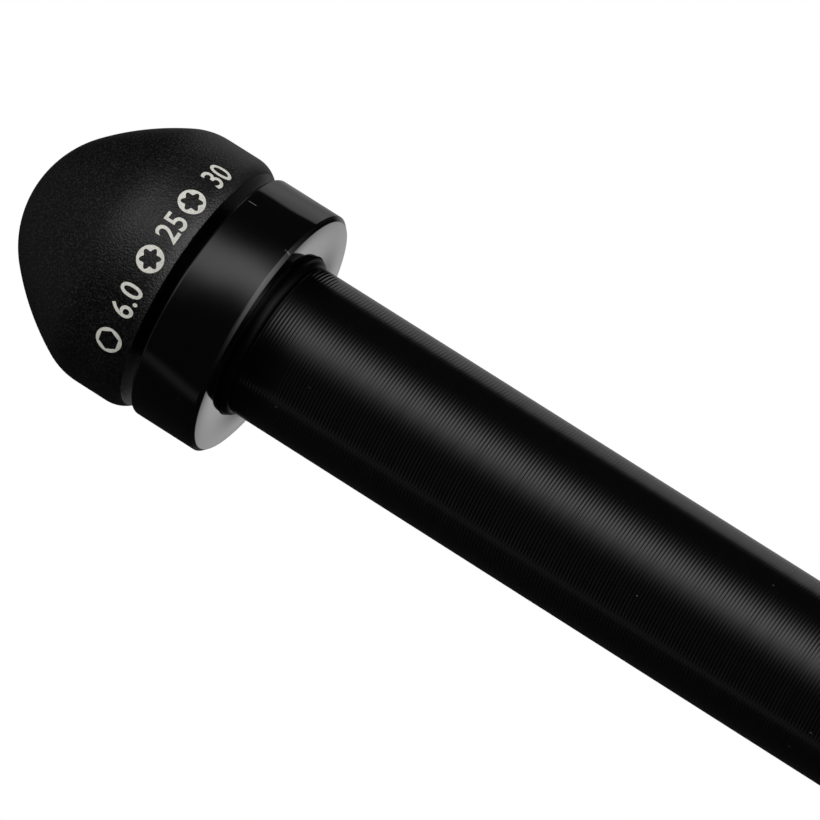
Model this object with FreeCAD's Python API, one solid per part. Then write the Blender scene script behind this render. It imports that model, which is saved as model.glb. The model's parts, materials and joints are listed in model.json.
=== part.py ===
import FreeCAD, Part
import math
import os

# Bicycle rear axle: a hollow through axle whose domed end pulls out as a small tool.
# Millimetres. The axle stands on its threaded end at z = 0, with its axis on +Z and its head up.

# Shaft and thread
shaft_diameter = 12.0
shaft_length = 180.0
bore_diameter = 8.0
bore_mouth_chamfer = 0.3
drill_point_angle = 118.0
thread_diameter = 11.9
thread_length = 20.0
thread_lead_chamfer = 0.7
relief_diameter = 10.4
relief_width = 2.5
relief_chamfer = 0.3

# Collar, with its seat face at the end of the shaft
collar_diameter = 19.4
collar_height = 5.35
collar_front_chamfer = 0.3
collar_back_round = 0.25
pocket_diameter = 15.0
pocket_depth = 3.75
pocket_chamfer = 0.3

# Rubber ring at the root of the shaft
face_ring_section = 1.2
face_ring_proud_of_shaft = 0.45
face_ring_proud_of_face = 0.6
face_ring_clearance = 0.05

# Domed tool grip
grip_diameter = 20.2
grip_height = 13.86
grip_gap = 0.89
grip_base_round = 2.0
grip_base_round_height = 1.36
grip_band_height = 3.96
shoulder_radius = 5.0
flank_radius = 20.5
crown_radius = 8.0
spigot_clearance = 0.15
spigot_floor_gap = 0.2
spigot_chamfer = 0.3
spigot_lip = 0.5
neck_diameter = 12.2

# Rubber ring on the grip's spigot
grip_ring_section = 1.5
grip_ring_clearance = 0.05
grip_ring_side_room = 0.2

# Key bar: a hexagon with a six-lobe tip on each end
key_across_flats = 6.0
key_side_clearance = 0.08
key_socket_chamfer = 0.3
hexagon_length = 14.0
hexagon_end_angle = 30.0
hexagon_in_axle = 6.6
small_tip_outer = 4.4
small_tip_inner = 3.2
small_tip_lobe_radius = 0.38
small_tip_length = 6.0
large_tip_outer = 5.5
large_tip_inner = 4.0
large_tip_lobe_radius = 0.45
large_tip_length = 6.0
tip_chamfer = 0.4
trim_room = 1.0

# Magnet at the bottom of the grip's socket
magnet_diameter = 5.0
magnet_height = 2.0
magnet_chamfer = 0.2
magnet_clearance = 0.05
key_to_magnet_gap = 0.1

# Heights along the axis that several pieces share
seat_z = shaft_length
collar_top_z = seat_z + collar_height
pocket_floor_z = collar_top_z - pocket_depth
grip_base_z = collar_top_z + grip_gap
spigot_end_z = pocket_floor_z + spigot_floor_gap
hexagon_bottom_z = pocket_floor_z - hexagon_in_axle
hexagon_top_z = hexagon_bottom_z + hexagon_length
key_top_z = hexagon_top_z + small_tip_length
magnet_bottom_z = key_top_z + key_to_magnet_gap
ring_axis_radius = shaft_diameter / 2 + face_ring_proud_of_shaft - face_ring_section / 2
ring_axis_z = seat_z - face_ring_proud_of_face + face_ring_section / 2
grip_ring_outer = pocket_diameter / 2 - grip_ring_clearance
grip_ring_z = (spigot_end_z + collar_top_z) / 2
socket_across_flats = key_across_flats + 2 * key_side_clearance

# Two points of an outline this close are one point
same_point = 1e-6


class Outline:
    """A half section in the XZ plane: x is the radius, z the height."""

    def __init__(self, radius, height):
        self.start = FreeCAD.Vector(radius, 0, height)
        self.end = self.start
        self.edges = []

    def line(self, radius, height):
        point = FreeCAD.Vector(radius, 0, height)
        if not point.isEqual(self.end, same_point):
            self.edges.append(Part.LineSegment(self.end, point).toShape())
        self.end = point
        return self

    def arc(self, radius, height, centre_radius, centre_height):
        """The short arc to a point, about a centre."""
        point = FreeCAD.Vector(radius, 0, height)
        centre = FreeCAD.Vector(centre_radius, 0, centre_height)
        middle = (self.end + point) / 2 - centre
        middle = centre + middle * ((point - centre).Length / middle.Length)
        self.edges.append(Part.Arc(self.end, middle, point).toShape())
        self.end = point
        return self

    def turned(self):
        """The solid that the closed outline sweeps about the axis."""
        self.line(self.start.x, self.start.z)
        face = Part.Face(Part.Wire(self.edges))
        return face.revolve(FreeCAD.Vector(0, 0, 0), FreeCAD.Vector(0, 0, 1), 360)


def corner_radius_of(across_flats):
    return across_flats / 2 / math.cos(math.radians(30))


def hexagon_prism(across_flats, bottom_z, top_z):
    corner_radius = corner_radius_of(across_flats)
    corners = []
    for index in range(7):
        angle = math.radians(60 * index)
        x = corner_radius * math.cos(angle)
        y = corner_radius * math.sin(angle)
        corners.append(FreeCAD.Vector(x, y, bottom_z))
    face = Part.Face(Part.makePolygon(corners))
    return face.extrude(FreeCAD.Vector(0, 0, top_z - bottom_z))


def six_lobe_prism(outer, inner, lobe_radius, bottom_z, top_z):
    """Six round lobes joined by six hollow flutes, each arc tangent to the next."""
    lobe_centre = outer / 2 - lobe_radius
    root = inner / 2
    lean = math.cos(math.radians(30))
    flute_radius = (lobe_radius ** 2 - root ** 2 - lobe_centre ** 2 + 2 * lobe_centre * root * lean)
    flute_radius /= 2 * (root - lobe_centre * lean - lobe_radius)
    flute_centre = root + flute_radius

    def polar(radius, degrees):
        angle = math.radians(degrees)
        return FreeCAD.Vector(radius * math.cos(angle), radius * math.sin(angle), bottom_z)

    def tangent_point(lobe_angle, flute_angle):
        lobe = polar(lobe_centre, lobe_angle)
        flute = polar(flute_centre, flute_angle)
        return lobe + (flute - lobe) * (lobe_radius / (lobe_radius + flute_radius))

    edges = []
    for index in range(6):
        lobe_angle = 60 * index
        before = tangent_point(lobe_angle, lobe_angle - 30)
        after = tangent_point(lobe_angle, lobe_angle + 30)
        following = tangent_point(lobe_angle + 60, lobe_angle + 30)
        edges.append(Part.Arc(before, polar(outer / 2, lobe_angle), after).toShape())
        edges.append(Part.Arc(after, polar(root, lobe_angle + 30), following).toShape())
    face = Part.Face(Part.Wire(edges))
    return face.extrude(FreeCAD.Vector(0, 0, top_z - bottom_z))


def chamfered_bar(radius, bottom_z, top_z, bottom_chamfer, top_chamfer, slope):
    """A round bar with chamfered ends; slope is a chamfer's height over its width."""
    outline = Outline(0, bottom_z)
    outline.line(radius - bottom_chamfer, bottom_z)
    outline.line(radius, bottom_z + bottom_chamfer * slope)
    outline.line(radius, top_z - top_chamfer * slope)
    outline.line(radius - top_chamfer, top_z)
    outline.line(0, top_z)
    return outline.turned()


def cone_trimmed(prism, radius, bottom_z, top_z, bottom_chamfer, top_chamfer, slope):
    """A prism of that outer radius with its ends turned to cones, as a key's ends are."""
    bottom_cut = bottom_chamfer + trim_room if bottom_chamfer else 0
    top_cut = top_chamfer + trim_room if top_chamfer else 0
    return prism.common(chamfered_bar(radius + trim_room, bottom_z, top_z, bottom_cut, top_cut, slope))


def socket_mouth(across_flats, mouth_z, direction):
    """The cone that breaks the corners of a hexagon socket's mouth; direction points out of the socket."""
    corner_radius = corner_radius_of(across_flats)
    outline = Outline(0, mouth_z)
    outline.line(corner_radius + key_socket_chamfer, mouth_z)
    outline.line(0, mouth_z - direction * (corner_radius + key_socket_chamfer))
    return outline.turned()


def make_axle_body():
    shaft_radius = shaft_diameter / 2
    thread_radius = thread_diameter / 2
    relief_radius = relief_diameter / 2
    collar_radius = collar_diameter / 2
    pocket_radius = pocket_diameter / 2
    relief_end_z = thread_length + relief_width
    recess_floor_z = ring_axis_z + face_ring_section / 2 + face_ring_clearance
    groove_radius = ring_axis_radius - face_ring_section / 2 - face_ring_clearance
    recess_radius = ring_axis_radius + face_ring_section / 2 + face_ring_clearance
    groove_start_z = ring_axis_z - face_ring_section / 2 - face_ring_clearance

    outline = Outline(0, 0)
    outline.line(thread_radius - thread_lead_chamfer, 0)
    outline.line(thread_radius, thread_lead_chamfer)
    outline.line(thread_radius, thread_length - thread_lead_chamfer)
    outline.line(relief_radius, thread_length + thread_radius - relief_radius - thread_lead_chamfer)
    outline.line(relief_radius, relief_end_z - relief_chamfer)
    outline.line(shaft_radius - relief_chamfer, relief_end_z - relief_chamfer)
    outline.line(shaft_radius, relief_end_z)
    outline.line(shaft_radius, groove_start_z)
    outline.line(groove_radius, groove_start_z)
    outline.line(groove_radius, recess_floor_z)
    outline.line(recess_radius, recess_floor_z)
    outline.line(recess_radius, seat_z)
    outline.line(collar_radius - collar_front_chamfer, seat_z)
    outline.line(collar_radius, seat_z + collar_front_chamfer)
    outline.line(collar_radius, collar_top_z - collar_back_round)
    back_round_radius = collar_radius - collar_back_round
    outline.arc(back_round_radius, collar_top_z, back_round_radius, collar_top_z - collar_back_round)
    outline.line(pocket_radius + pocket_chamfer, collar_top_z)
    outline.line(pocket_radius, collar_top_z - pocket_chamfer)
    outline.line(pocket_radius, pocket_floor_z)
    outline.line(0, pocket_floor_z)
    body = outline.turned()

    bore_radius = bore_diameter / 2
    point_height = bore_radius / math.tan(math.radians(drill_point_angle / 2))
    bore = Outline(0, 0)
    bore.line(bore_radius + bore_mouth_chamfer, 0)
    bore.line(bore_radius, bore_mouth_chamfer)
    bore.line(bore_radius, hexagon_bottom_z)
    bore.line(0, hexagon_bottom_z + point_height)
    body = body.cut(bore.turned())
    body = body.cut(hexagon_prism(socket_across_flats, hexagon_bottom_z, pocket_floor_z))
    return body.cut(socket_mouth(socket_across_flats, pocket_floor_z, 1))


def make_face_o_ring():
    axis = FreeCAD.Vector(0, 0, 1)
    return Part.makeTorus(ring_axis_radius, face_ring_section / 2, FreeCAD.Vector(0, 0, ring_axis_z), axis)


def dome_arc_ends():
    """Where the flank arc meets the shoulder and the crown, and the centre that it turns about.

    The shoulder is tangent to the band, the crown is centred on the axis,
    and the flank is tangent to both, so its centre is where two circles cross.
    """
    shoulder = FreeCAD.Vector(grip_diameter / 2 - shoulder_radius, 0, grip_base_z + grip_band_height)
    crown = FreeCAD.Vector(0, 0, grip_base_z + grip_height - crown_radius)
    from_shoulder = flank_radius - shoulder_radius
    from_crown = flank_radius - crown_radius
    across = crown - shoulder
    distance = across.Length
    along = (from_shoulder ** 2 - from_crown ** 2 + distance ** 2) / (2 * distance)
    aside = math.sqrt(from_shoulder ** 2 - along ** 2)
    across.normalize()
    inward = FreeCAD.Vector(across.z, 0, -across.x)
    if inward.z > 0:
        inward = -inward
    centre = shoulder + across * along + inward * aside
    to_shoulder = (shoulder - centre).normalize()
    to_crown = (crown - centre).normalize()
    return shoulder, crown, centre, centre + to_shoulder * flank_radius, centre + to_crown * flank_radius


def make_tool_grip():
    grip_radius = grip_diameter / 2
    spigot_radius = pocket_diameter / 2 - spigot_clearance
    groove_radius = grip_ring_outer - grip_ring_section - grip_ring_clearance
    groove_half = grip_ring_section / 2 + grip_ring_side_room
    shoulder, crown, flank, shoulder_end, crown_start = dome_arc_ends()

    outline = Outline(0, spigot_end_z)
    outline.line(spigot_radius - spigot_chamfer, spigot_end_z)
    outline.line(spigot_radius, spigot_end_z + spigot_chamfer)
    outline.line(spigot_radius, grip_ring_z - groove_half)
    outline.line(groove_radius, grip_ring_z - groove_half)
    outline.line(groove_radius, grip_ring_z + groove_half)
    outline.line(spigot_radius, grip_ring_z + groove_half)
    outline.line(spigot_radius, grip_ring_z + groove_half + spigot_lip)
    outline.line(neck_diameter / 2, grip_ring_z + groove_half + spigot_lip)
    outline.line(neck_diameter / 2, grip_base_z)
    round_centre_radius = grip_radius - grip_base_round
    round_top_z = grip_base_z + grip_base_round_height
    edge_radius = round_centre_radius + math.sqrt(grip_base_round ** 2 - grip_base_round_height ** 2)
    outline.line(edge_radius, grip_base_z)
    outline.arc(grip_radius, round_top_z, round_centre_radius, round_top_z)
    outline.line(grip_radius, shoulder.z)
    outline.arc(shoulder_end.x, shoulder_end.z, shoulder.x, shoulder.z)
    outline.arc(crown_start.x, crown_start.z, flank.x, flank.z)
    outline.arc(0, grip_base_z + grip_height, crown.x, crown.z)
    grip = outline.turned()

    grip = grip.cut(hexagon_prism(socket_across_flats, spigot_end_z, magnet_bottom_z))
    grip = grip.cut(socket_mouth(socket_across_flats, spigot_end_z, -1))
    magnet_room = FreeCAD.Vector(0, 0, magnet_bottom_z)
    return grip.cut(Part.makeCylinder(magnet_diameter / 2 + magnet_clearance, magnet_height, magnet_room))


def make_grip_o_ring():
    section_radius = grip_ring_section / 2
    place = FreeCAD.Vector(0, 0, grip_ring_z)
    return Part.makeTorus(grip_ring_outer - section_radius, section_radius, place, FreeCAD.Vector(0, 0, 1))


def make_key_bar():
    slope = math.tan(math.radians(hexagon_end_angle))
    corner_radius = corner_radius_of(key_across_flats)
    top_trim = corner_radius - small_tip_inner / 2
    bottom_trim = corner_radius - large_tip_inner / 2
    hexagon = cone_trimmed(
        hexagon_prism(key_across_flats, hexagon_bottom_z, hexagon_top_z),
        corner_radius, hexagon_bottom_z, hexagon_top_z, bottom_trim, top_trim, slope)

    small_tip = cone_trimmed(
        six_lobe_prism(small_tip_outer, small_tip_inner, small_tip_lobe_radius,
                       hexagon_top_z - top_trim * slope, key_top_z),
        small_tip_outer / 2, hexagon_bottom_z, key_top_z, 0, tip_chamfer, 1)

    key_bottom_z = hexagon_bottom_z - large_tip_length
    large_tip = cone_trimmed(
        six_lobe_prism(large_tip_outer, large_tip_inner, large_tip_lobe_radius,
                       key_bottom_z, hexagon_bottom_z + bottom_trim * slope),
        large_tip_outer / 2, key_bottom_z, hexagon_top_z, tip_chamfer, 0, 1)
    return hexagon.fuse([small_tip, large_tip]).removeSplitter()


def make_key_magnet():
    magnet_top_z = magnet_bottom_z + magnet_height
    return chamfered_bar(
        magnet_diameter / 2, magnet_bottom_z, magnet_top_z, magnet_chamfer, magnet_chamfer, 1)


os.makedirs("parts", exist_ok=True)
pieces = {
    "axle_body": make_axle_body(),
    "face_o_ring": make_face_o_ring(),
    "tool_grip": make_tool_grip(),
    "grip_o_ring": make_grip_o_ring(),
    "key_bar": make_key_bar(),
    "key_magnet": make_key_magnet(),
}
for name, shape in pieces.items():
    shape.exportStep("parts/" + name + ".step")
    box = shape.BoundBox
    print(name, "solids", len(shape.Solids), "valid", shape.isValid(), "volume", round(shape.Volume, 2),
          "z", round(box.ZMin, 3), round(box.ZMax, 3), "radius", round(box.XMax, 3))
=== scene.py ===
# %% [markdown]
# # A rear axle that hides its own tool
#
# The object is the turned axle that holds a bicycle's rear wheel. Its head is a gloss black collar with a
# matte dome behind it, and the dome pulls out as the grip of a small key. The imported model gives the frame:
# the axle stands on its threaded end, with the head at the top. Everything below is dressed around it.

# %% Load the frame
import json
import math

import bmesh
import bpy
from mathutils import Matrix, Vector


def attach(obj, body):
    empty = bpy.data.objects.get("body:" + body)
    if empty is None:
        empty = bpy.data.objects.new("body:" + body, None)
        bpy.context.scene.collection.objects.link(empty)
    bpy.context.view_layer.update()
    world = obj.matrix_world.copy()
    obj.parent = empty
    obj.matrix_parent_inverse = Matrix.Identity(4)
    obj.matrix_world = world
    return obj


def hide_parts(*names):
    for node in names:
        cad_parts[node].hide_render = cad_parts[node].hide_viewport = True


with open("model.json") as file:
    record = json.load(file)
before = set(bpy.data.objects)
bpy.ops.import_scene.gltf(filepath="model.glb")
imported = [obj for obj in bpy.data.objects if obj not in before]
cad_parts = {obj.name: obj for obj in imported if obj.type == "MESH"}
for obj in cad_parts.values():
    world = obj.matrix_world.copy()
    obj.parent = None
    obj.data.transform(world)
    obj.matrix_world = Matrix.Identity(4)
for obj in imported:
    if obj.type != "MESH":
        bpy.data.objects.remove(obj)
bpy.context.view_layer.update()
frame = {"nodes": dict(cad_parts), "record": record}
print("frame:", sorted(frame["nodes"]))

# %% [markdown]
# ## Where things are
#
# A turned part is easiest to think of in millimetres from one shoulder. Here that shoulder is the seat face,
# where the collar presses on the bicycle's frame. Its height, the shaft and the thread come from the packed
# record, so the dressing follows the solid model. One matrix turns these millimetres into metres.

# %% Driving sizes from the record
millimetre = 0.001
mounts = {mount["name"]: mount for mount in frame["record"]["mounts"]}
seat_height = mounts["seat_face"]["pos_m"][2]
shaft_length = seat_height / millimetre
shaft_radius = mounts["hub_shaft"]["dims"]["r_mm"]
thread_radius = mounts["frame_thread"]["dims"]["r_mm"]
thread_middle = mounts["frame_thread"]["pos_m"][2] / millimetre
thread_end = thread_middle + mounts["frame_thread"]["dims"]["length_mm"] / 2
into_place = Matrix.Translation((0, 0, seat_height)) @ Matrix.Scale(millimetre, 4)
print("seat face at", seat_height, "m, shaft radius", shaft_radius, "mm, thread to", thread_end, "mm")

# %% [markdown]
# ## A lathe in a few lines
#
# Nearly every piece here is turned, so one helper draws half of a section and spins it. A straight cut adds
# an edge. A round cut spins the last point about the centre of its arc, which gives the true arc. A sharp
# corner may be broken with a vertex bevel, because a real tool leaves a small radius that catches the light.

# %% The outline of a turned piece
turning_steps = 240
corner_steps = 3
weld_distance = 0.0005


class Outline:
    """Half of a turned section, in millimetres out from the axis and up from the seat face."""

    def __init__(self, radius, height):
        self.mesh = bmesh.new()
        self.last = self.mesh.verts.new((radius, 0, height))
        self.broken_corners = []

    def cut(self, radius, height, broken=0):
        """A straight cut. The corner at its end is broken by this much."""
        point = self.mesh.verts.new((radius, 0, height))
        self.mesh.edges.new((self.last, point))
        self.last = point
        if broken:
            self.broken_corners.append((point, broken))
        return self

    def round(self, centre_radius, centre_height, degrees, steps):
        """A round cut. Positive degrees turn from outwards to upwards."""
        swept = bmesh.ops.spin(
            self.mesh, geom=[self.last], cent=(centre_radius, 0, centre_height), axis=(0, -1, 0),
            angle=math.radians(degrees), steps=steps)
        self.last = [part for part in swept["geom_last"] if isinstance(part, bmesh.types.BMVert)][0]
        return self

    def turn(self):
        """Breaks the corners, then spins the section about the axis."""
        mesh = self.mesh
        for point, size in self.broken_corners:
            bmesh.ops.bevel(mesh, geom=[point], offset=size, offset_type="OFFSET", segments=corner_steps,
                            profile=0.5, affect="VERTICES", material=-1)
        bmesh.ops.spin(mesh, geom=mesh.verts[:] + mesh.edges[:], cent=(0, 0, 0), axis=(0, 0, 1),
                       angle=math.tau, steps=turning_steps, use_merge=True)
        bmesh.ops.remove_doubles(mesh, verts=mesh.verts, dist=weld_distance)
        return mesh


print("lathe ready:", turning_steps, "steps a turn")

# %% [markdown]
# ## Normals that point outwards
#
# Blender can make the normals of a mesh agree, but on a thin shell, such as one figure of a number, its guess
# at which side is out may be wrong. The volume inside tells: it is a sum of cones from one point to every
# face, and it comes out negative where the faces look inwards. Such a shell is reversed.

# %% Turn every shell outwards
def shells_of(mesh):
    """The faces of each separate shell of a mesh."""
    left = set(mesh.faces)
    while left:
        waiting = [left.pop()]
        shell = []
        while waiting:
            face = waiting.pop()
            shell.append(face)
            beside = {other for edge in face.edges for other in edge.link_faces} & left
            left -= beside
            waiting.extend(beside)
        yield shell


def volume_inside(shell):
    """The volume of a closed shell, negative where its faces look inwards."""
    tip = shell[0].calc_center_median()
    return sum(face.calc_area() * face.normal.dot(face.calc_center_median() - tip) / 3 for face in shell)


def turn_outwards(mesh):
    """Makes the normals of each shell agree and look outwards. Returns how many shells were reversed."""
    bmesh.ops.recalc_face_normals(mesh, faces=mesh.faces)
    inside_out = [shell for shell in shells_of(mesh) if volume_inside(shell) < 0]
    for shell in inside_out:
        bmesh.ops.reverse_faces(mesh, faces=shell)
    return len(inside_out)


print("normals ready")

# %% [markdown]
# A finished mesh becomes a piece in one way throughout: normals turned outwards, its place put into the mesh,
# faces shaded smooth with the real edges kept sharp, and then its body, its finish and the solids that it
# stands for are named, and those solids are hidden. One function for all keeps the pieces alike.

# %% Make a mesh into a piece
sharp_edge = math.radians(32)


def make_piece(mesh, name, body, finish, stands_for=()):
    """A finished object of this mesh, which moves with a body and stands for solids of the frame."""
    reversed_shells = turn_outwards(mesh)
    bmesh.ops.transform(mesh, matrix=into_place, verts=mesh.verts)
    data = bpy.data.meshes.new(name)
    mesh.to_mesh(data)
    mesh.free()
    data.shade_smooth()
    data.set_sharp_from_angle(angle=sharp_edge)
    data.materials.append(finish)
    piece = bpy.data.objects.new(name, data)
    bpy.context.scene.collection.objects.link(piece)
    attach(piece, body)
    if stands_for:
        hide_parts(*stands_for)
    heights = [corner.co.z for corner in data.vertices]
    print(name, len(data.polygons), "faces,", round(min(heights), 5), "to", round(max(heights), 5), "m,",
          reversed_shells, "shells reversed")
    return piece


print("edges over", round(math.degrees(sharp_edge)), "degrees stay sharp")

# %% [markdown]
# ## Shader sums as Python
#
# A finish is a sum of small patterns. Wrapping a socket in a class with Python's operators lets the sums be
# read as they are meant, and one method adds any other node with its settings and its inputs.

# %% Sockets with operators
class Wire:
    """An output socket of a node tree. Sums of wires add Math nodes to the tree."""

    def __init__(self, tree, socket=None):
        self.tree = tree
        self.socket = socket

    def node(self, kind, settings=None, inputs=None, output=0):
        """Adds a node: its settings first, then values or wires on its inputs."""
        made = self.tree.nodes.new(kind)
        for name, value in (settings or {}).items():
            setattr(made, name, value)
        for name, value in (inputs or {}).items():
            if isinstance(value, Wire):
                self.tree.links.new(value.socket, made.inputs[name])
            else:
                made.inputs[name].default_value = value
        return Wire(self.tree, made.outputs[output])

    def other(self, output):
        """Another output of the node that this wire comes from."""
        return Wire(self.tree, self.socket.node.outputs[output])

    def split(self):
        """The x, y and z of a vector."""
        x = self.node("ShaderNodeSeparateXYZ", inputs={0: self}, output="X")
        return x, x.other("Y"), x.other("Z")

    def math(self, operation, *values):
        return self.node("ShaderNodeMath", {"operation": operation}, dict(enumerate(values)))

    def into(self, socket):
        self.tree.links.new(self.socket, socket)

    def __add__(self, other):
        return self.math("ADD", self, other)

    def __radd__(self, other):
        return self.math("ADD", other, self)

    def __sub__(self, other):
        return self.math("SUBTRACT", self, other)

    def __rsub__(self, other):
        return self.math("SUBTRACT", other, self)

    def __mul__(self, other):
        return self.math("MULTIPLY", self, other)

    def __rmul__(self, other):
        return self.math("MULTIPLY", other, self)

    def __truediv__(self, other):
        return self.math("DIVIDE", self, other)

    def __lt__(self, other):
        return self.math("LESS_THAN", self, other)

    def __gt__(self, other):
        return self.math("GREATER_THAN", self, other)

    def __abs__(self):
        return self.math("ABSOLUTE", self)

    def sine(self):
        return self.math("SINE", self)

    def bell(self, centre, width):
        """A smooth bump of height 1 about a centre."""
        away = (self - centre) / width
        return self.math("EXPONENT", away * away * -1)

    def ease(self, start, end):
        """0 at start, 1 at end, and smooth between them."""
        return self.node("ShaderNodeMapRange", {"interpolation_type": "SMOOTHSTEP"},
                         {"Value": self, "From Min": start, "From Max": end})


print("wires ready")

# %% [markdown]
# Every finish starts from the same three things: a material, the place on the piece in metres, and the
# shader that the patterns run into. Object coordinates give the place, so a pattern has its real size and
# stays put when the piece moves. Plain values on the shader stand in wherever a pattern can't be shown.

# %% Finishes and their patterns
first_colour = 6
second_colour = 7
mixed_colour = 2


def new_finish(name, values):
    """A material, the place on its piece and its shader, with plain values on the shader's sockets."""
    finish = bpy.data.materials.new(name)
    finish.use_nodes = True
    shader = finish.node_tree.nodes["Principled BSDF"]
    for socket, value in values.items():
        shader.inputs[socket].default_value = value
    place = Wire(finish.node_tree).node("ShaderNodeTexCoord", output="Object")
    return finish, place, shader


def grains(place, size, detail=2.0):
    """Soft random grains of about this size in metres, from 0 to 1."""
    return place.node("ShaderNodeTexNoise", inputs={"Vector": place, "Scale": 1 / size, "Detail": detail})


def relief(height):
    """A normal that follows a height pattern in metres."""
    return height.node(
        "ShaderNodeBump", inputs={"Height": height, "Distance": 1.0, "Strength": 1.0}, output="Normal")


def between_colours(share, first, second):
    """The first colour where the share is 0, the second where it is 1, and a mix between."""
    return share.node("ShaderNodeMix", {"data_type": "RGBA"}, {
        "Factor": share, first_colour: first, second_colour: second}, output=mixed_colour)


print("finish helpers ready")

# %% [markdown]
# ## The camera
#
# The photograph is taken from a little below the seat face, with a long lens, and the axle runs across the
# frame from upper left to lower right. A camera could be turned by hand until it looks right. Here it looks
# up slightly and is rolled about its own axis by angles that were fitted, with the lens, to the outlines of
# the dome, the collar and the shaft. It stands close enough to stay above the floor.

# %% Camera
image_width = 820
sensor_width = 36
focal_pixels = 8548.4
camera_distance = 0.600
camera_tilt = math.radians(12.746)
camera_roll = math.radians(57.684)
aim_beside_axis = 0.806 * millimetre
aim_below_seat = 11.335 * millimetre
aim = Vector((aim_beside_axis, 0, seat_height - aim_below_seat))

camera_data = bpy.data.cameras.new("camera")
camera_data.sensor_width = sensor_width
camera_data.lens = focal_pixels / image_width * sensor_width
camera = bpy.data.objects.new("camera", camera_data)
bpy.context.scene.collection.objects.link(camera)
backwards = Vector((0, -math.cos(camera_tilt), -math.sin(camera_tilt)))
sideways = Vector((1, 0, 0))
upwards = backwards.cross(sideways)
right = sideways * math.cos(camera_roll) - upwards * math.sin(camera_roll)
up = upwards * math.cos(camera_roll) + sideways * math.sin(camera_roll)
turned_axes = Matrix((right, up, backwards)).transposed().to_4x4()
camera.matrix_world = Matrix.Translation(aim + backwards * camera_distance) @ turned_axes
bpy.context.scene.camera = camera
camera_place = [round(value, 4) for value in camera.matrix_world.translation]
print("camera at", camera_place, "lens", round(camera_data.lens, 1))

# %% [markdown]
# ## The studio
#
# A gloss black part shows little but what stands around it. Seen in it here are one soft window of light in
# front and to the right, a pale wall behind on the right, a thin bright gap on the left and the white sweep
# behind and below. Panels and lamps could stand there, but each would have to be kept out of the picture. So
# the world draws them by direction: a bearing round the axle and a climb above the horizon.

# %% Directions in the room
degree = math.radians(1)
world = bpy.data.worlds.new("studio")
world.use_nodes = True
bpy.context.scene.world = world
sky = Wire(world.node_tree)
along_x, along_y, along_z = sky.node("ShaderNodeTexCoord", output="Generated").split()
bearing = sky.math("ARCTAN2", along_x, along_y * -1)
climb = sky.math("ARCSINE", along_z)
print("bearing 0 is straight in front, and climb 0 is level")

# %% [markdown]
# The window is a tall soft strip. Its light is the product of three curves: a bell across it, a span from its
# foot to its head, and a glow that is stronger low down and weaker high up. Its middle line leans a little,
# which is why the highlight on the collar narrows and drifts.

# %% The window
window_bearing = 29 * degree
window_half_width = 19.5 * degree
window_foot = (-112 * degree, -74 * degree)
window_head = (27 * degree, 64 * degree)
window_level = 1.85
high_dimming = 0.4
high_dimming_span = (-10 * degree, 36 * degree)
low_glow = 2.5
low_glow_climb = -54 * degree
low_glow_half_height = 18 * degree
upright_climb = 13 * degree
lean_share = 0.12
head_lean = 8 * degree
head_lean_span = (34 * degree, 56 * degree)
lean_widening = 0.75

beside_axis = along_x * math.cos(window_bearing) + along_y * math.sin(window_bearing)
beside_window = sky.math("ARCSINE", beside_axis)
towards_window = along_x * math.sin(window_bearing) - along_y * math.cos(window_bearing)
window_climb = sky.math("ARCTAN2", along_z, towards_window)
window_span = window_climb.ease(*window_foot) * (1 - window_climb.ease(*window_head))
dimmer_high_up = window_climb.ease(*high_dimming_span) * high_dimming
brighter_low_down = window_climb.bell(low_glow_climb, low_glow_half_height) * low_glow
window_glow = window_level - dimmer_high_up + brighter_low_down
lean_of_sides = (upright_climb - window_climb) * lean_share
window_lean = lean_of_sides - window_climb.ease(*head_lean_span) * head_lean
across_window = (beside_window - window_lean) / (1 + window_lean * lean_widening)
window_light = across_window.bell(0, window_half_width) * window_span * window_glow
print("window at bearing", round(window_bearing / degree), "degrees")

# %% [markdown]
# The rest of the room is drawn in the same way, each thing as one product of curves. The wall gives the pale
# strip along the right side of shaft and collar, the gap a thin line on the left, and the sweep the grey of
# the seat face. The ceiling is faint and lights the crown of the dome.

# %% Wall, gap, sweep and ceiling
wall_edge = (114 * degree, 119 * degree)
wall_foot = (-14 * degree, -2 * degree)
wall_head = (15 * degree, 32 * degree)
wall_level = 0.51
wall_far_end = (128 * degree, 152 * degree)
wall_far_dimming = 0.25
wall_span = climb.ease(*wall_foot) * (1 - climb.ease(*wall_head))
wall_glow = wall_level - bearing.ease(*wall_far_end) * wall_far_dimming
pale_wall = bearing.ease(*wall_edge) * wall_span * wall_glow

gap_bearing = -77 * degree
gap_half_width = 5 * degree
gap_climb = 5 * degree
gap_half_height = 40 * degree
gap_level = 0.14
left_gap = bearing.bell(gap_bearing, gap_half_width) * climb.bell(gap_climb, gap_half_height) * gap_level

sweep_half_width = 0.2
sweep_climb = -13 * degree
sweep_half_height = 10 * degree
sweep_level = 0.99
behind = along_y > 0
sweep_shape = along_x.bell(0, sweep_half_width) * behind * climb.bell(sweep_climb, sweep_half_height)
white_sweep = sweep_shape * sweep_level

ceiling_edge = (25 * degree, 55 * degree)
ceiling_level = 0.075
ceiling_left = (-0.25, -0.65)
left_gain = 0.04
ceiling_right = (0.1, 0.55)
right_loss = 0.06
ceiling_behind = (0.2, 0.6)
behind_loss = 0.05
brighter_left = along_x.ease(*ceiling_left) * left_gain
dimmer_right = along_x.ease(*ceiling_right) * right_loss
dimmer_behind = along_y.ease(*ceiling_behind) * behind_loss
ceiling_glow = ceiling_level + brighter_left - dimmer_right - dimmer_behind
overhead = climb.ease(*ceiling_edge) * ceiling_glow
print("room:", len(world.node_tree.nodes), "nodes so far")

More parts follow.
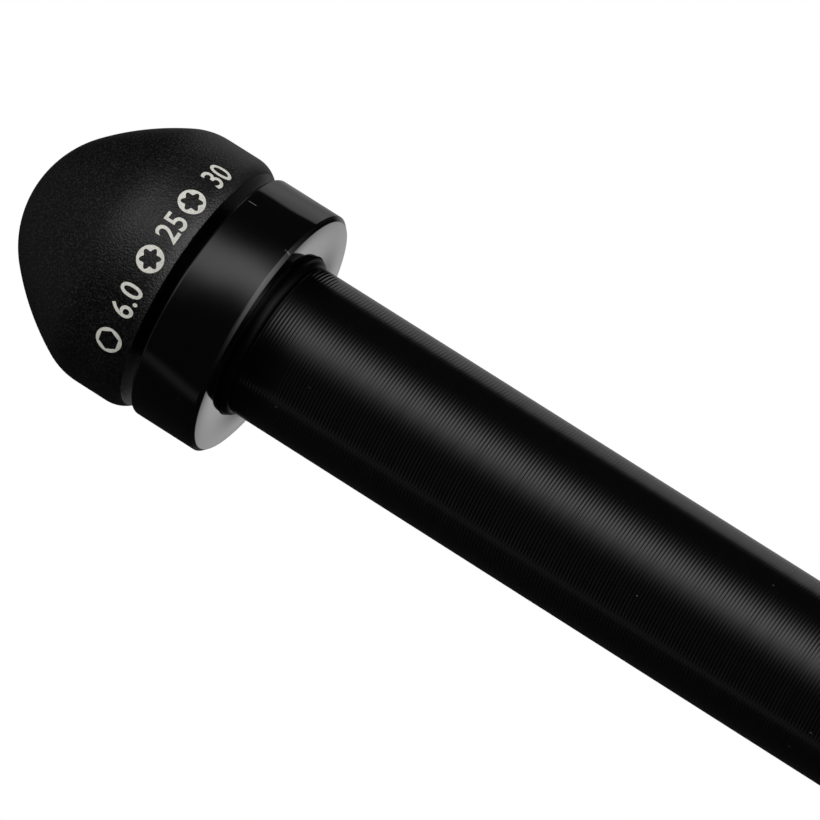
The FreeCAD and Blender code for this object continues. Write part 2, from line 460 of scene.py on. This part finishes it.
# %% [markdown]
# Three kinds of ray look at the world. The camera sees plain white, mirrored rays see the room, and the soft
# light on matt surfaces is one even fill, so that it can be set by itself.

# %% World
dark_room = 0.012
fill_level = 0.35
studio = window_light + pale_wall + left_gap + white_sweep + overhead + dark_room
seen_by_camera = sky.node("ShaderNodeLightPath", output="Is Camera Ray")
bounced_off_gloss = seen_by_camera.other("Is Glossy Ray")
passed_through = seen_by_camera.other("Is Transmission Ray")
mirrored = sky.math("MAXIMUM", bounced_off_gloss, passed_through)
strength = seen_by_camera + (1 - seen_by_camera) * (mirrored * studio + (1 - mirrored) * fill_level)
background = world.node_tree.nodes["Background"]
strength.into(background.inputs["Strength"])
background.inputs["Color"].default_value = (1, 1, 1, 1)
bpy.context.scene.view_settings.view_transform = "Standard"
print("world:", len(world.node_tree.nodes), "nodes")

# %% [markdown]
# ## Lamp and floor
#
# The axle stands on a sheet of paper, and a lamp on the window's side gives it a soft shadow there. Both are
# hidden from mirrored rays, because the world already holds what the gloss should show. The floor is only a
# stage and no part of the object.

# %% Lamp
lamp_width = 0.5
lamp_height = 0.7
lamp_watts = 11.0
lamp_climb = 40 * degree
lamp_distance = 1.2
lamp_data = bpy.data.lights.new("window", "AREA")
lamp_data.shape = "RECTANGLE"
lamp_data.size = lamp_width
lamp_data.size_y = lamp_height
lamp_data.energy = lamp_watts
lamp = bpy.data.objects.new("window", lamp_data)
bpy.context.scene.collection.objects.link(lamp)
lamp_direction = Vector((math.sin(window_bearing) * math.cos(lamp_climb),
                         -math.cos(window_bearing) * math.cos(lamp_climb), math.sin(lamp_climb)))
lamp.location = Vector((0, 0, seat_height)) + lamp_direction * lamp_distance
lamp.rotation_euler = lamp_direction.to_track_quat("Z", "Y").to_euler()
lamp.visible_glossy = False
print("lamp at", [round(value, 3) for value in lamp.location])

# %% Floor
floor_radius = 4.0
floor_sides = 96
paper_grain = 2 * millimetre
paper_relief = 0.02 * millimetre
floor_finish, place, shader = new_finish(
    "floor_paper", {"Base Color": (0.85, 0.85, 0.845, 1), "Roughness": 0.9, "Specular IOR Level": 0.1})
relief(grains(place, paper_grain) * paper_relief).into(shader.inputs["Normal"])
floor_mesh = bmesh.new()
bmesh.ops.create_circle(floor_mesh, cap_ends=True, segments=floor_sides, radius=floor_radius)
floor_data = bpy.data.meshes.new("floor")
floor_mesh.to_mesh(floor_data)
floor_mesh.free()
floor_data.materials.append(floor_finish)
floor = bpy.data.objects.new("floor", floor_data)
bpy.context.scene.collection.objects.link(floor)
floor.visible_glossy = False
print("floor:", floor_radius, "m in radius")

# %% [markdown]
# ## Gloss black on the axle
#
# The axle is turned from aluminium and anodised black. The collar is polished before that, so it is almost a
# mirror, while the shaft keeps the fine grooves of the turning tool, a quarter of a millimetre apart. Real
# grooves that fine would need far too many faces, so they go into a bump along the axis. No polish is quite
# true either: slow waves and one flat spot bend the window's reflection on the collar.

# %% Grooves of the shaft
groove_pitch = 0.261 * millimetre
groove_depth = 0.0075 * millimetre
unevenness_size = 0.9 * millimetre
groove_wander = 0.3
weakest_groove = 0.4
groove_variety = 1.2
depth_at_seat = 0.95
depth_gain = 0.6
depth_gain_length = 28 * millimetre
black = (0.0015, 0.0015, 0.0016, 1)
axle_finish, place, shader = new_finish("turned_black", {"Base Color": black, "IOR": 1.5, "Roughness": 0.1})
x, y, z = place.split()
shaft_top = seat_height - 0.75 * millimetre
shaft_reach = shaft_radius * 1.02 * millimetre
on_shaft = (z < shaft_top) * (x * x + y * y < shaft_reach ** 2)
along_axis = place.node("ShaderNodeCombineXYZ", inputs={"Z": z})
uneven = grains(along_axis, unevenness_size, 3.0)
turns_along = z / groove_pitch + uneven * groove_wander
groove_strength = weakest_groove + uneven * groove_variety
deeper = depth_at_seat + z.ease(seat_height, seat_height - depth_gain_length) * depth_gain
grooves = (turns_along * math.tau).sine() * groove_strength * deeper * on_shaft * groove_depth
print("grooves:", round(1 / groove_pitch * millimetre, 2), "in a millimetre")

# %% Polish of the collar
wave_size = 5 * millimetre
wave_height = 0.12 * millimetre
flat_spot_middle = -3.3 * millimetre
flat_spot_half_width = 4.7 * millimetre
flat_spot_height = -0.3 * millimetre
flat_spot_span = (seat_height + 0.5 * millimetre, seat_height + 4.5 * millimetre)
smear_size = 2.5 * millimetre
polish_roughness = 0.03
groove_roughness = 0.07
smear_roughness = 0.06
on_collar = z > seat_height + 0.2 * millimetre
waves = grains(place, wave_size, 1.0) * on_collar * wave_height
towards_seat = 1 - z.ease(*flat_spot_span)
flat_spot = x.bell(flat_spot_middle, flat_spot_half_width) * towards_seat * on_collar * flat_spot_height
relief(grooves + waves + flat_spot).into(shader.inputs["Normal"])
smears = grains(place, smear_size, 4.0)
(polish_roughness + on_shaft * groove_roughness + smears * smear_roughness).into(shader.inputs["Roughness"])
print("gloss:", len(axle_finish.node_tree.nodes), "nodes so far")

# %% [markdown]
# Use leaves its marks: specks of dust, a short scratch near the collar's back edge and a nick at its
# front rim. A pale line along the back edge, on the front only, is a painted highlight that stands in for
# the window's reflection in that edge. They could be small meshes, but they have no height worth drawing.
# Each is a mask instead, and one mix lets paler colour through where a mask is up.

# %% Specks, scratches and a painted edge highlight
speck_spacing = 0.8 * millimetre
speck_size = 0.055
speck_rarity = 0.93
speck_cells = place.node(
    "ShaderNodeTexVoronoi", inputs={"Vector": place, "Scale": 1 / speck_spacing}, output="Distance")
speck_chance = place.node("ShaderNodeSeparateColor", inputs={0: speck_cells.other("Color")})
specks = (speck_cells < speck_size) * (speck_chance > speck_rarity)


def scratched(bearing_degrees, height, half_width, half_length):
    """A short upright scratch on the collar's right side, in millimetres from the seat face."""
    turned = math.radians(bearing_degrees)
    beside = abs(x * math.cos(turned) + y * math.sin(turned))
    above = abs(z - (seat_height + height * millimetre))
    return (beside < half_width * millimetre) * (above < half_length * millimetre) * (x > 0)


back_edge_scratch = scratched(bearing_degrees=47.3, height=4.62, half_width=0.03, half_length=0.32)
front_rim_nick = scratched(bearing_degrees=35.0, height=0.2, half_width=0.07, half_length=0.12)

# The pale line on the back edge is a painted highlight: its two stretches on the front lie where the window's
# reflection falls.
edge_highlight_height = seat_height + 5.2 * millimetre
edge_highlight_half_height = 0.06 * millimetre
edge_highlight_share = 0.27
second_stretch_share = 0.8
first_stretch = x.bell(0.1 * millimetre, 1.6 * millimetre)
second_stretch = x.bell(6.9 * millimetre, 0.7 * millimetre) * second_stretch_share
on_front = y < 0
edge_highlight_line = z.bell(edge_highlight_height, edge_highlight_half_height) * edge_highlight_share
painted_edge_highlight = (first_stretch + second_stretch) * on_front * edge_highlight_line

# The paler colour is bare metal in the specks, scratch and nick, and a painted highlight along the back edge.
bare_metal_and_highlight = (0.11, 0.11, 0.105, 1)
wear_and_painted_highlight = specks + (back_edge_scratch + front_rim_nick) + painted_edge_highlight
between_colours(wear_and_painted_highlight, black, bare_metal_and_highlight).into(shader.inputs["Base Color"])
print("axle finish:", len(axle_finish.node_tree.nodes), "nodes")

# %% [markdown]
# ## The axle
#
# From the thread's relief the section runs up the shaft to the seal's groove, out along the seat face, over
# the collar, and down inside it: a round pocket for the grip, a hexagon for the key, and a long bore that
# makes the axle light. These are its sizes, in millimetres.

# %% Sizes of the axle
ring_section = 0.6
ring_squeeze = 0.05
ring_middle = 0.0
ring_axis = 5.85
groove_radius = ring_axis - ring_section - ring_squeeze
groove_half = ring_section + ring_squeeze
recess_radius = 6.5
collar_radius = 9.7
collar_length = 5.35
collar_front_chamfer = 0.3
collar_back_round = 0.25
pocket_radius = 7.5
pocket_chamfer = 0.3
pocket_floor = 1.6
socket_half = 3.08
socket_chamfer = 0.3
socket_mouth = socket_half / math.cos(math.pi / 6) + socket_chamfer
bore_radius = 4.0
bore_end = -5.0
drill_slope = 1 / math.tan(math.radians(59))
bore_mouth_chamfer = 0.3
relief_radius = 5.2
relief_end = 22.2
relief_chamfer = 0.3
thread_lead = 0.7
foot = -shaft_length
sleeve_end = thread_end + thread_radius - relief_radius
print("collar", 2 * collar_radius, "mm across, thread and its run-out", round(sleeve_end, 2), "mm long")

# %% [markdown]
# Spinning would leave the key's hexagon round, so its two rings are drawn as circles and then moved out to
# six sides. A boolean cut could make it too, but moving the points keeps the mesh in clean rings. The mouth's
# cone meets the six sides in scallops, as a countersink does.

# %% A hexagon in a turned piece
def six_sided(bearing_angle):
    """How far out the hexagon's side is in this direction. A corner lies along the x axis."""
    return socket_half / math.cos(bearing_angle % (math.pi / 3) - math.pi / 6)


def shape_hexagon(mesh, ring_heights):
    """Moves rings that were drawn as circles out to six sides. Each ring has its own rule for its height."""
    moved = 0
    for corner in mesh.verts:
        if abs(corner.co.xy.length - socket_half) > weld_distance:
            continue
        out = six_sided(math.atan2(corner.co.y, corner.co.x))
        rule = min(ring_heights, key=lambda ring: abs(ring[0] - corner.co.z))[1]
        corner.co.xy = corner.co.xy.normalized() * out
        corner.co.z = rule(out)
        moved += 1
    print("hexagon socket:", moved, "points moved")


print("hexagon corners reach", round(six_sided(0), 3), "mm")

# %% Section of the axle
edge_break = 0.06
fine_break = 0.03
relief_break = 0.1
bridge_height = 0.25
bridge_width = 0.15
ring_as_drawn = 0.5
back_round_steps = 6
back_round_radius = collar_radius - collar_back_round
back_round_height = collar_length - collar_back_round
axle_section = Outline(relief_radius, foot + sleeve_end + bridge_height)
axle_section.cut(relief_radius, foot + relief_end, relief_break)
axle_section.cut(shaft_radius - relief_chamfer, foot + relief_end, edge_break)
axle_section.cut(shaft_radius, foot + relief_end + relief_chamfer, edge_break)
axle_section.cut(shaft_radius, ring_middle - groove_half, fine_break)
axle_section.cut(groove_radius, ring_middle - groove_half)
axle_section.cut(groove_radius, ring_middle + groove_half)
axle_section.cut(recess_radius, ring_middle + groove_half)
axle_section.cut(recess_radius, 0, edge_break)
axle_section.cut(collar_radius - collar_front_chamfer, 0, fine_break)
axle_section.cut(collar_radius, collar_front_chamfer, fine_break)
axle_section.cut(collar_radius, back_round_height)
axle_section.round(back_round_radius, back_round_height, 90, back_round_steps)
axle_section.cut(pocket_radius + pocket_chamfer, collar_length, edge_break)
axle_section.cut(pocket_radius, collar_length - pocket_chamfer, edge_break)
axle_section.cut(pocket_radius, pocket_floor)
axle_section.cut(socket_mouth, pocket_floor)
axle_section.cut(socket_half, pocket_floor - ring_as_drawn)
axle_section.cut(socket_half, bore_end + ring_as_drawn)
axle_section.cut(bore_radius, bore_end)
axle_section.cut(bore_radius, foot + bore_mouth_chamfer, edge_break)
axle_section.cut(bore_radius + bore_mouth_chamfer, foot, edge_break)
axle_section.cut(thread_radius - thread_lead - bridge_width, foot)
axle_mesh = axle_section.turn()
shape_hexagon(axle_mesh, [
    (pocket_floor - ring_as_drawn, lambda out: pocket_floor - (socket_mouth - out)),
    (bore_end + ring_as_drawn, lambda out: bore_end + (bore_radius - out) * drill_slope)])

# %% [markdown]
# The threaded end screws into the frame. A thread is a zigzag of one pitch, spun while it climbs, so spin is
# given a step along the axis. A bump would be quicker, but the outline would stay smooth. The run is made too
# long, cut square at both ends, and held inside two cones, which is how a lathe chamfers the first and last
# turns.

# %% Turns of the thread
thread_pitch = 1.0
thread_depth = 0.6134 * thread_pitch
thread_steps = 96
spare_turns = 3
root_half = 0.083
crest_half = 0.0625
zigzag = [(root_half, 0), (0.5 - crest_half, 1), (0.5 + crest_half, 1), (1 - root_half, 0), (1, 0)]

sleeve = Outline(thread_radius - thread_depth, foot - thread_pitch)
for share, full in zigzag:
    sleeve.cut(thread_radius - thread_depth * (1 - full), foot - thread_pitch + share * thread_pitch)
sleeve_mesh = sleeve.mesh
turns = math.ceil(sleeve_end / thread_pitch) + spare_turns
bmesh.ops.spin(sleeve_mesh, geom=sleeve_mesh.verts[:] + sleeve_mesh.edges[:], cent=(0, 0, 0), axis=(0, 0, 1),
               dvec=(0, 0, thread_pitch / thread_steps), angle=math.tau * turns, steps=thread_steps * turns)
bmesh.ops.remove_doubles(sleeve_mesh, verts=sleeve_mesh.verts, dist=weld_distance)
for height, drop in ((foot, "clear_inner"), (foot + sleeve_end, "clear_outer")):
    everything = sleeve_mesh.verts[:] + sleeve_mesh.edges[:] + sleeve_mesh.faces[:]
    bmesh.ops.bisect_plane(sleeve_mesh, geom=everything, dist=weld_distance, plane_co=(0, 0, height),
                           plane_no=(0, 0, 1), **{drop: True})
for corner in sleeve_mesh.verts:
    from_foot = corner.co.z - foot
    allowed = min(thread_radius - thread_lead + from_foot, relief_radius + sleeve_end - from_foot)
    if corner.co.xy.length > allowed:
        corner.co.xy = corner.co.xy.normalized() * allowed
print("thread:", turns - spare_turns, "turns,", len(sleeve_mesh.faces), "faces")

# %% [markdown]
# On the real axle the thread is cut into the same bar, so its two open rims are bridged to the rims that the
# section left open. That closes the mesh, and thread and axle are one piece.

# %% Thread and axle in one
rim_reach = 1
sleeve_data = bpy.data.meshes.new("thread_turns")
sleeve_mesh.to_mesh(sleeve_data)
sleeve_mesh.free()
axle_mesh.from_mesh(sleeve_data)
bpy.data.meshes.remove(sleeve_data)
for rim_height in (foot, foot + sleeve_end):
    open_edges = [edge for edge in axle_mesh.edges if edge.is_boundary]
    rims = [edge for edge in open_edges if abs(edge.verts[0].co.z - rim_height) < rim_reach]
    bmesh.ops.bridge_loops(axle_mesh, edges=rims)
print("axle:", sum(edge.is_boundary for edge in axle_mesh.edges), "open edges left")
make_piece(axle_mesh, "turned_axle", "axle", axle_finish, ["axle_body"])

# %% [markdown]
# ## Matte black on the grip
#
# The grip is blasted with fine beads before it is anodised, which leaves a field of tiny dents. That scatters
# the window's reflection into a broad glow with a sandy grain. Roughness alone would look like plastic, so a
# noise of about a tenth of a millimetre is both the bump and the paler sparkle on the high spots.

# %% Grip finish
dent_size = 0.15 * millimetre
dent_depth = 0.05 * millimetre
rough_patch_size = 3 * millimetre
least_roughness = 0.4
roughness_variety = 0.08
high_spots = (0.44, 0.8)
grip_black = (0.0006, 0.0006, 0.0006, 1)
grip_sparkle = (0.0138, 0.0138, 0.014, 1)
grip_finish, place, shader = new_finish(
    "blasted_black", {"Base Color": (0.0025, 0.0025, 0.0026, 1), "IOR": 1.5, "Roughness": 0.42})
dents = grains(place, dent_size, 1.0)
relief(dents * dent_depth).into(shader.inputs["Normal"])
(least_roughness + grains(place, rough_patch_size) * roughness_variety).into(shader.inputs["Roughness"])
between_colours(dents.ease(*high_spots), grip_black, grip_sparkle).into(shader.inputs["Base Color"])
print("grip finish:", len(grip_finish.node_tree.nodes), "nodes")

# %% [markdown]
# ## The grip
#
# Its section is drawn from the magnet's pocket on the axis, down the key's hexagon, round the spigot with its
# ring groove, and over the dome. A sphere squeezed to fit would be close, but the real outline has a band, a
# shoulder and flatter sides.

# %% Sizes of the grip
spigot_radius = 7.35
spigot_chamfer = 0.3
spigot_end = 1.8
spigot_lip = 0.5
neck_radius = 6.1
grip_base = 6.24
grip_radius = 10.1
grip_base_round = 2.0
round_height = 1.36
round_rise = math.degrees(math.asin(round_height / grip_base_round))
base_edge_radius = grip_radius - grip_base_round + math.sqrt(grip_base_round ** 2 - round_height ** 2)
band_top = grip_base + 3.96
shoulder_radius = 5.0
flank_radius = 20.5
crown_radius = 8.0
grip_top = grip_base + 13.86
ring_groove_radius = 5.9
ring_groove_half = 0.95
ring_groove_middle = (spigot_end + collar_length) / 2
ring_groove_top = ring_groove_middle + ring_groove_half
ring_groove_bottom = ring_groove_middle - ring_groove_half
magnet_pocket_radius = 2.55
magnet_bottom = 15.1
magnet_top = 17.1
print("grip", 2 * grip_radius, "mm across, from", spigot_end, "to", round(grip_top, 2), "mm above the seat")

# %% [markdown]
# The dome is three arcs that run into each other: a tight shoulder, a long flank and a round crown. Where two
# arcs touch, their centres and the meeting point lie on one line. So the flank's centre is known from its
# distances to the other two centres, and the lines between them give the angles.

# %% Three arcs for the dome
def arcs_of_dome():
    """The centres of shoulder, flank and crown, and the slopes in degrees at which each arc hands over."""
    shoulder = Vector((grip_radius - shoulder_radius, band_top))
    crown = Vector((0, grip_top - crown_radius))
    to_shoulder = flank_radius - shoulder_radius
    to_crown = flank_radius - crown_radius
    between = crown - shoulder
    along_line = (to_shoulder ** 2 - to_crown ** 2 + between.length_squared) / (2 * between.length)
    beside_line = math.sqrt(to_shoulder ** 2 - along_line ** 2)
    heading = between.normalized()
    flank = shoulder + heading * along_line - Vector((heading.y, -heading.x)) * beside_line
    slopes = [math.degrees(math.atan2(line.y, line.x)) for line in (shoulder - flank, crown - flank)]
    return shoulder, flank, crown, slopes


shoulder, flank, crown, (first_slope, second_slope) = arcs_of_dome()
print("shoulder to", round(first_slope, 2), "degrees, flank to", round(second_slope, 2), "degrees")

# %% Section of the grip
base_steps = 12
shoulder_steps = 12
flank_steps = 24
crown_steps = 20
grip_section = Outline(0, magnet_top)
grip_section.cut(magnet_pocket_radius, magnet_top)
grip_section.cut(magnet_pocket_radius, magnet_bottom)
grip_section.cut(socket_half, magnet_bottom)
grip_section.cut(socket_half, spigot_end + ring_as_drawn)
grip_section.cut(socket_mouth, spigot_end)
grip_section.cut(spigot_radius - spigot_chamfer, spigot_end, edge_break)
grip_section.cut(spigot_radius, spigot_end + spigot_chamfer, edge_break)
grip_section.cut(spigot_radius, ring_groove_bottom, edge_break)
grip_section.cut(ring_groove_radius, ring_groove_bottom)
grip_section.cut(ring_groove_radius, ring_groove_top)
grip_section.cut(spigot_radius, ring_groove_top, edge_break)
grip_section.cut(spigot_radius, ring_groove_top + spigot_lip, edge_break)
grip_section.cut(neck_radius, ring_groove_top + spigot_lip)
grip_section.cut(neck_radius, grip_base)
grip_section.cut(base_edge_radius, grip_base, fine_break)
grip_section.round(grip_radius - grip_base_round, grip_base + round_height, round_rise, base_steps)
grip_section.cut(grip_radius, band_top)
grip_section.round(shoulder.x, shoulder.y, first_slope, shoulder_steps)
grip_section.round(flank.x, flank.y, second_slope - first_slope, flank_steps)
grip_section.round(crown.x, crown.y, 90 - second_slope, crown_steps)
print("dome ends at", [round(value, 4) for value in grip_section.last.co])
grip_mesh = grip_section.turn()
shape_hexagon(grip_mesh, [
    (magnet_bottom, lambda out: magnet_bottom),
    (spigot_end + ring_as_drawn, lambda out: spigot_end + socket_mouth - out)])
make_piece(grip_mesh, "domed_grip", "tool", grip_finish, ["tool_grip"])

# %% [markdown]
# ## Rubber rings
#
# One ring seals the shaft's root and shows as a dark bead in front of the collar. A second one, inside, holds
# the grip in its pocket. Moulded rubber has a dull sheen, so its mirror is weak and its roughness uneven,
# with a fine grain in the bump. A ready-made torus would do, but a circle spun about the axis has as many
# steps as the turned pieces beside it.

# %% Rubber
rubber_grain = 0.2 * millimetre
rubber_relief = 0.004 * millimetre
dust_size = 1.5 * millimetre
clean_roughness = 0.22
dust_roughness = 0.16
rubber, place, shader = new_finish("ring_rubber", {
    "Base Color": (0.0012, 0.0012, 0.0012, 1), "Roughness": 0.3, "IOR": 1.5, "Specular IOR Level": 0.06})
relief(grains(place, rubber_grain) * rubber_relief).into(shader.inputs["Normal"])
(clean_roughness + grains(place, dust_size) * dust_roughness).into(shader.inputs["Roughness"])
print("rubber:", len(rubber.node_tree.nodes), "nodes")

# %% Rings
ring_sides = 32
grip_ring_section = 0.75
grip_ring_axis = 6.7


def rubber_ring(name, axis_radius, section_radius, middle, body, stands_for):
    """A ring of round section, spun about the axle's axis."""
    mesh = bmesh.new()
    upright = Matrix.Translation((axis_radius, 0, middle)) @ Matrix.Rotation(math.pi / 2, 4, "X")
    bmesh.ops.create_circle(mesh, segments=ring_sides, radius=section_radius, matrix=upright)
    bmesh.ops.spin(mesh, geom=mesh.verts[:] + mesh.edges[:], cent=(0, 0, 0), axis=(0, 0, 1), angle=math.tau,
                   steps=turning_steps, use_merge=True)
    bmesh.ops.remove_doubles(mesh, verts=mesh.verts, dist=weld_distance)
    return make_piece(mesh, name, body, rubber, [stands_for])


rubber_ring("seal_bead", ring_axis, ring_section, ring_middle, "axle", "face_o_ring")
rubber_ring("grip_ring", grip_ring_axis, grip_ring_section, ring_groove_middle,
            "tool", "grip_o_ring")

# %% [markdown]
# ## Size marks
#
# The grip says which keys it carries: a small picture of each driver and its size, in pale ink on the matte
# band. A material could paint them, but a thin mesh stays crisp at any distance. The ink is a little mottled,
# because it lies on blasted metal.

# %% Mark finish
mottle_size = 0.12 * millimetre
thin_ink = (0.36, 0.355, 0.32, 1)
full_ink = (0.76, 0.75, 0.69, 1)
ink, place, shader = new_finish(
    "pale_ink", {"Base Color": (0.56, 0.55, 0.50, 1), "Roughness": 0.6, "IOR": 1.45})
between_colours(grains(place, mottle_size), thin_ink, full_ink).into(shader.inputs["Base Color"])
print("ink:", len(ink.node_tree.nodes), "nodes")

# %% [markdown]
# A mark is drawn flat, in millimetres round the grip and up from the band's middle. It is sliced so that it
# can bend, given a little thickness, and then each point is wrapped onto the band by turning its distance
# round the grip into an angle.

# %% Wrap a flat mark onto the band
mark_middle = 7.8
number_height = 1.75
ink_sunk = 0.03
ink_proud = 0.008
slice_width = 0.25
slice_start = 0.37
level_cuts = (-0.46, -0.21, 0.04, 0.29)


def band_radius(height):
    """How far out the grip's surface is at this height, on the band or on the round below it."""
    below = max(0, grip_base + round_height - height)
    return grip_radius - grip_base_round + math.sqrt(grip_base_round ** 2 - below ** 2)


def slice_mark(mesh, point, direction):
    """Cuts every face that crosses a plane, and keeps both sides."""
    everything = mesh.verts[:] + mesh.edges[:] + mesh.faces[:]
    bmesh.ops.bisect_plane(mesh, geom=everything, dist=weld_distance, plane_co=point, plane_no=direction)


def wrap_mark(mesh, bearing_degrees):
    """Slices a flat mark so that it can bend, gives it thickness and wraps it onto the band."""
    reach = int(max(abs(corner.co.x) for corner in mesh.verts) / slice_width)
    for step in range(-reach, reach + 1):
        slice_mark(mesh, ((step + slice_start) * slice_width, 0, 0), (1, 0, 0))
    for share in level_cuts:
        slice_mark(mesh, (0, share * number_height, 0), (0, 1, 0))
    bmesh.ops.dissolve_degenerate(mesh, dist=weld_distance, edges=mesh.edges)
    bmesh.ops.triangulate(mesh, faces=mesh.faces)
    lifted = bmesh.ops.extrude_face_region(mesh, geom=mesh.faces[:])
    tops = [part for part in lifted["geom"] if isinstance(part, bmesh.types.BMVert)]
    bmesh.ops.translate(mesh, verts=tops, vec=(0, 0, ink_sunk + ink_proud))
    for corner in mesh.verts:
        height = mark_middle + corner.co.y
        out = band_radius(height) - ink_sunk + corner.co.z
        angle = math.radians(bearing_degrees) + corner.co.x / grip_radius
        corner.co = Vector((out * math.sin(angle), -out * math.cos(angle), height))
    return mesh


print("marks stand", ink_proud, "mm proud of the band")

# %% [markdown]
# A driver's picture is a disc with the driver's outline left out of it: two circles, the inner one pushed out
# or in by a rule for each direction, and bridged. The hexagon's rule is the straight side, and the six-lobe
# rule is one wave for each lobe.

# %% Pictures of the drivers
icon_radius = 1.0
icon_points = 72
hexagon_hole_half = 0.70
star_hole_radius = 0.67
star_hole_wave = 0.135


def hexagon_hole(angle):
    return hexagon_hole_half / math.cos(angle % (math.pi / 3) - math.pi / 6)


def six_point_hole(angle):
    return star_hole_radius + star_hole_wave * math.cos(6 * angle)


def driver_icon(bearing_degrees, hole):
    """A disc with the driver's outline left out of it."""
    mesh = bmesh.new()
    bmesh.ops.create_circle(mesh, segments=icon_points, radius=icon_radius)
    inner = bmesh.ops.create_circle(mesh, segments=icon_points, radius=1)["verts"]
    for corner in inner:
        corner.co.xy *= hole(math.atan2(corner.co.y, corner.co.x))
    bmesh.ops.bridge_loops(mesh, edges=mesh.edges[:])
    return wrap_mark(mesh, bearing_degrees)


print("pictures:", icon_points, "points round")

# %% [markdown]
# The sizes are plain figures. A text curve gives their outlines. It is made a flat mesh, narrowed like the
# figures on a tool, and wrapped in the same way as the pictures.

# %% Numbers and marks
number_narrowing = 0.87
figure_roundness = 4
figure_weight = 0.015
figure_spacing = 1.02


def number(bearing_degrees, words):
    """Plain figures, narrow like those on a tool."""
    curve = bpy.data.curves.new("figures", "FONT")
    curve.body = words
    curve.align_x = "CENTER"
    curve.size = number_height
    curve.resolution_u = figure_roundness
    curve.offset = figure_weight
    curve.space_character = figure_spacing
    holder = bpy.data.objects.new("figures", curve)
    bpy.context.scene.collection.objects.link(holder)
    flat = bpy.data.meshes.new_from_object(holder)
    bpy.data.objects.remove(holder)
    bpy.data.curves.remove(curve)
    mesh = bmesh.new()
    mesh.from_mesh(flat)
    bpy.data.meshes.remove(flat)
    bmesh.ops.remove_doubles(mesh, verts=mesh.verts, dist=weld_distance)
    heights = [corner.co.y for corner in mesh.verts]
    stretch = number_height / (max(heights) - min(heights))
    bmesh.ops.translate(mesh, verts=mesh.verts, vec=(0, -(max(heights) + min(heights)) / 2, 0))
    bmesh.ops.scale(mesh, vec=(stretch * number_narrowing, stretch, 1), verts=mesh.verts)
    return wrap_mark(mesh, bearing_degrees)


marks = [
    ("hexagon_icon", driver_icon(-38.8, hexagon_hole)),
    ("hexagon_size", number(-19.0, "6.0")),
    ("small_star_icon", driver_icon(0.1, six_point_hole)),
    ("small_star_size", number(15.6, "25")),
    ("large_star_icon", driver_icon(29.4, six_point_hole)),
    ("large_star_size", number(47.5, "30"))]
for name, mesh in marks:
    make_piece(mesh, "mark_" + name, "tool", ink)

# %% [markdown]
# ## Key and magnet
#
# The key is a hardened steel bar that stays in the grip, held by a plated magnet. Both could be modelled
# again, but the solid model has their exact shapes, so they stay and only their surfaces are dressed: satin
# steel, drawn along its length, and bright nickel with tiny marks.

# %% Steel and nickel
drawn_stretch = 0.04
drawn_size = 0.12 * millimetre
drawn_relief = 0.002 * millimetre
drawn_least_roughness = 0.24
drawn_roughness = 0.2
steel, place, shader = new_finish(
    "satin_steel", {"Base Color": (0.32, 0.32, 0.33, 1), "Metallic": 1.0, "Roughness": 0.32})
stretched = place.node("ShaderNodeMapping", inputs={"Vector": place, "Scale": (1, 1, drawn_stretch)})
drawn = grains(stretched, drawn_size, 3.0)
(drawn_least_roughness + drawn * drawn_roughness).into(shader.inputs["Roughness"])
relief(drawn * drawn_relief).into(shader.inputs["Normal"])

handling_size = 0.6 * millimetre
bright_roughness = 0.12
handled_roughness = 0.16
nickel, place, shader = new_finish(
    "nickel", {"Base Color": (0.70, 0.69, 0.66, 1), "Metallic": 1.0, "Roughness": 0.18})
(bright_roughness + grains(place, handling_size, 4.0) * handled_roughness).into(shader.inputs["Roughness"])

for node_name, dressing in (("key_bar", steel), ("key_magnet", nickel)):
    for holder in frame["nodes"][node_name].material_slots:
        holder.material = dressing
    print(node_name, "dressed in", dressing.name)
